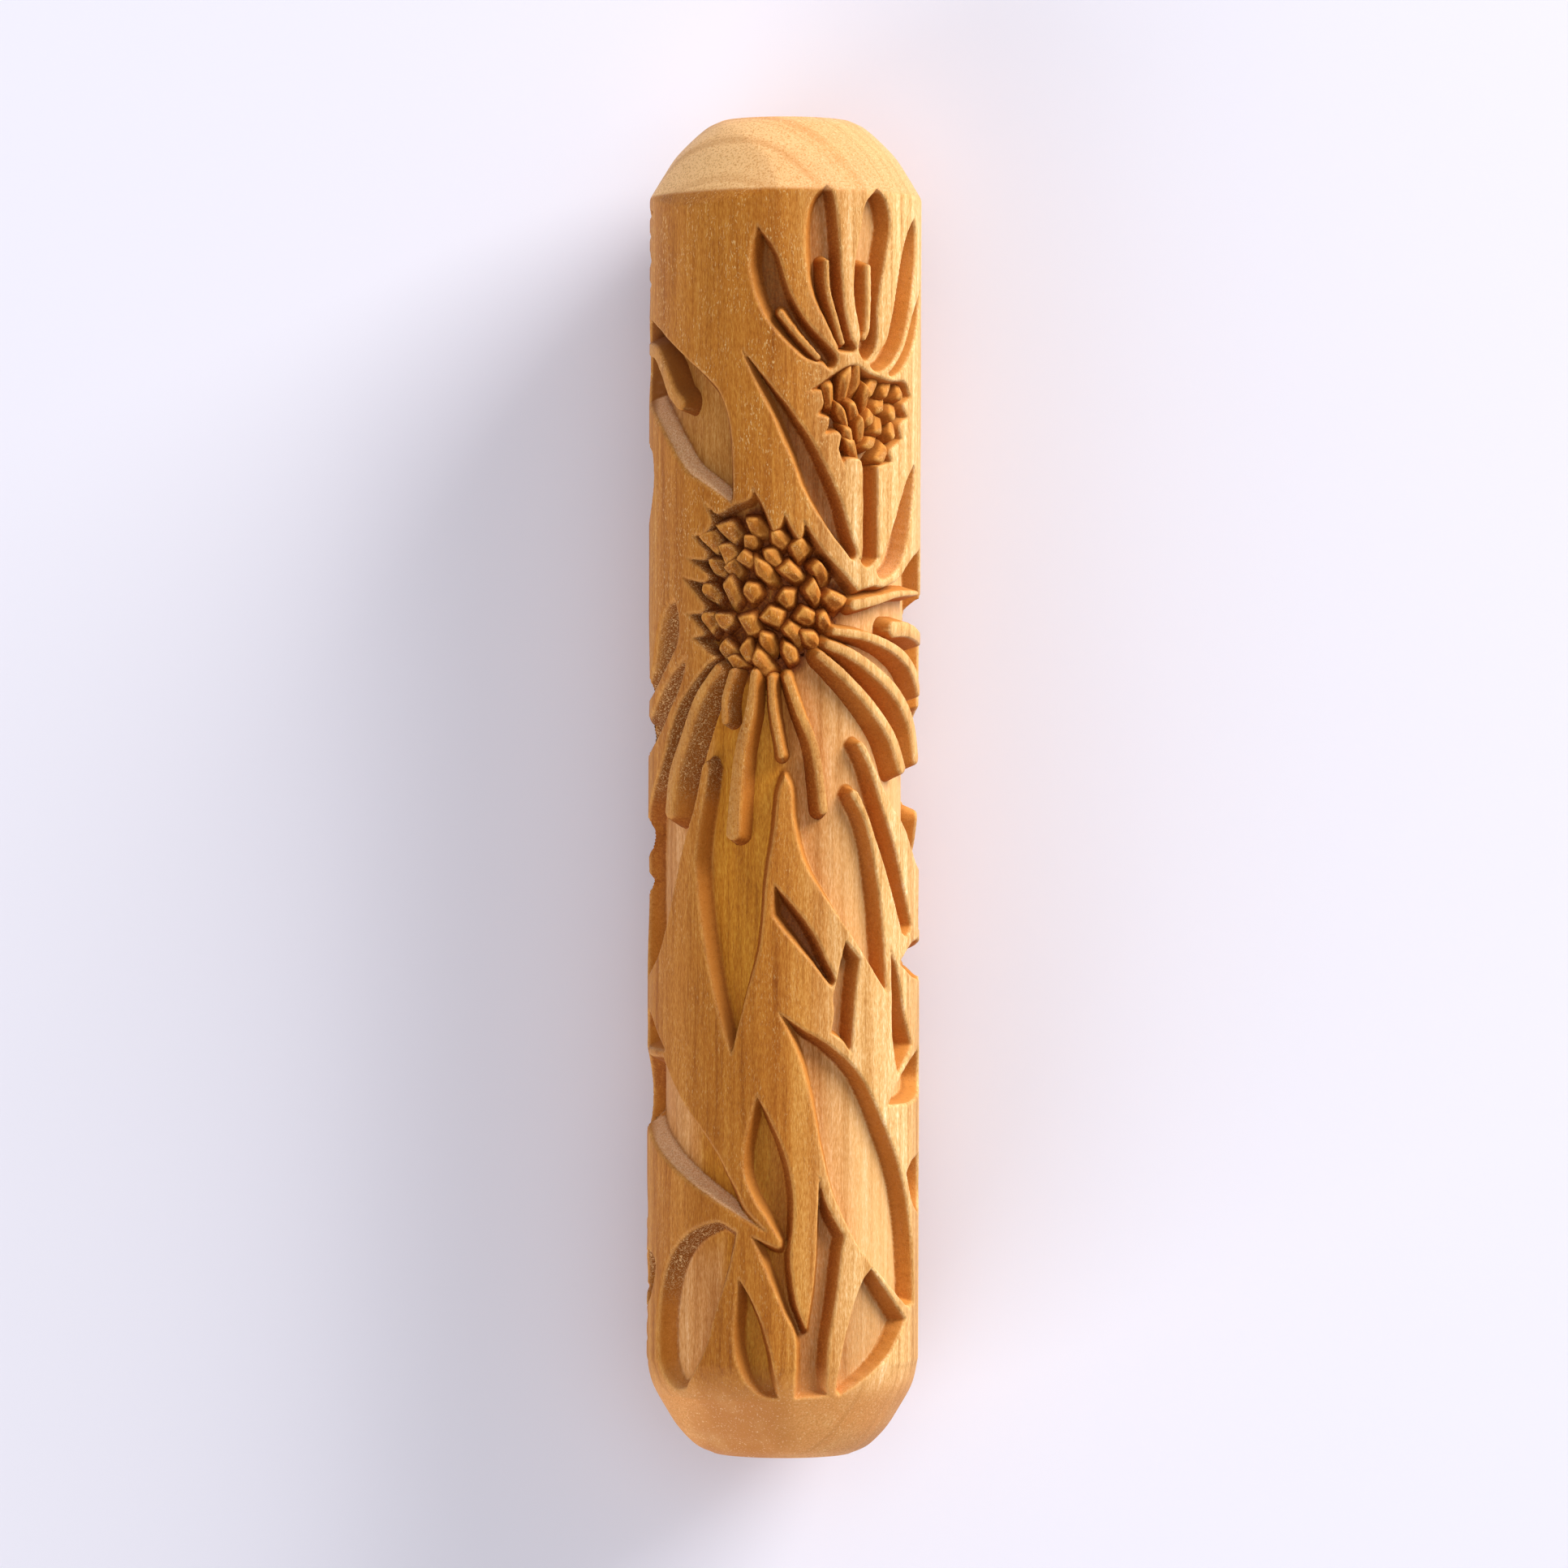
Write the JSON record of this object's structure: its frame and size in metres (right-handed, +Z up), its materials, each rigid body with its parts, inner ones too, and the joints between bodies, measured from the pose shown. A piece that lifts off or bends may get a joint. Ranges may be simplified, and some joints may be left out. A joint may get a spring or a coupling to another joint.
{
  "type": "clay pattern roller",
  "caption": "Solid wooden hand roller with domed ends and a deeply carved coneflower relief all round the barrel, for pressing patterns into clay.",
  "frame": {"origin": "on the roller's axis, midway between its two flat end faces", "axes": "+Y along the roller's axis towards the end with the crisp shoulder, +Z up, with the roller lying on its side"},
  "size_m": [0.027, 0.132, 0.027],
  "materials": {
    "barrel": "satin oiled",
    "ends": "satin oiled",
    "petals": "satin oiled",
    "seeds": "satin oiled"
  },
  "bodies": {
    "root": {"carved_barrel": "barrel", "upper_domed_end": "ends", "lower_domed_end": "ends", "front_large_flower_petals": "petals", "front_large_flower_seeds": "seeds", "front_small_flower_veins": "petals", "front_small_flower_seeds": "seeds", "front_leaf_rib": "petals", "back_large_flower_petals": "petals", "back_large_flower_seeds": "seeds", "back_small_flower_veins": "petals", "back_small_flower_seeds": "seeds", "back_leaf_rib": "petals"}
  },
  "joints": []
}
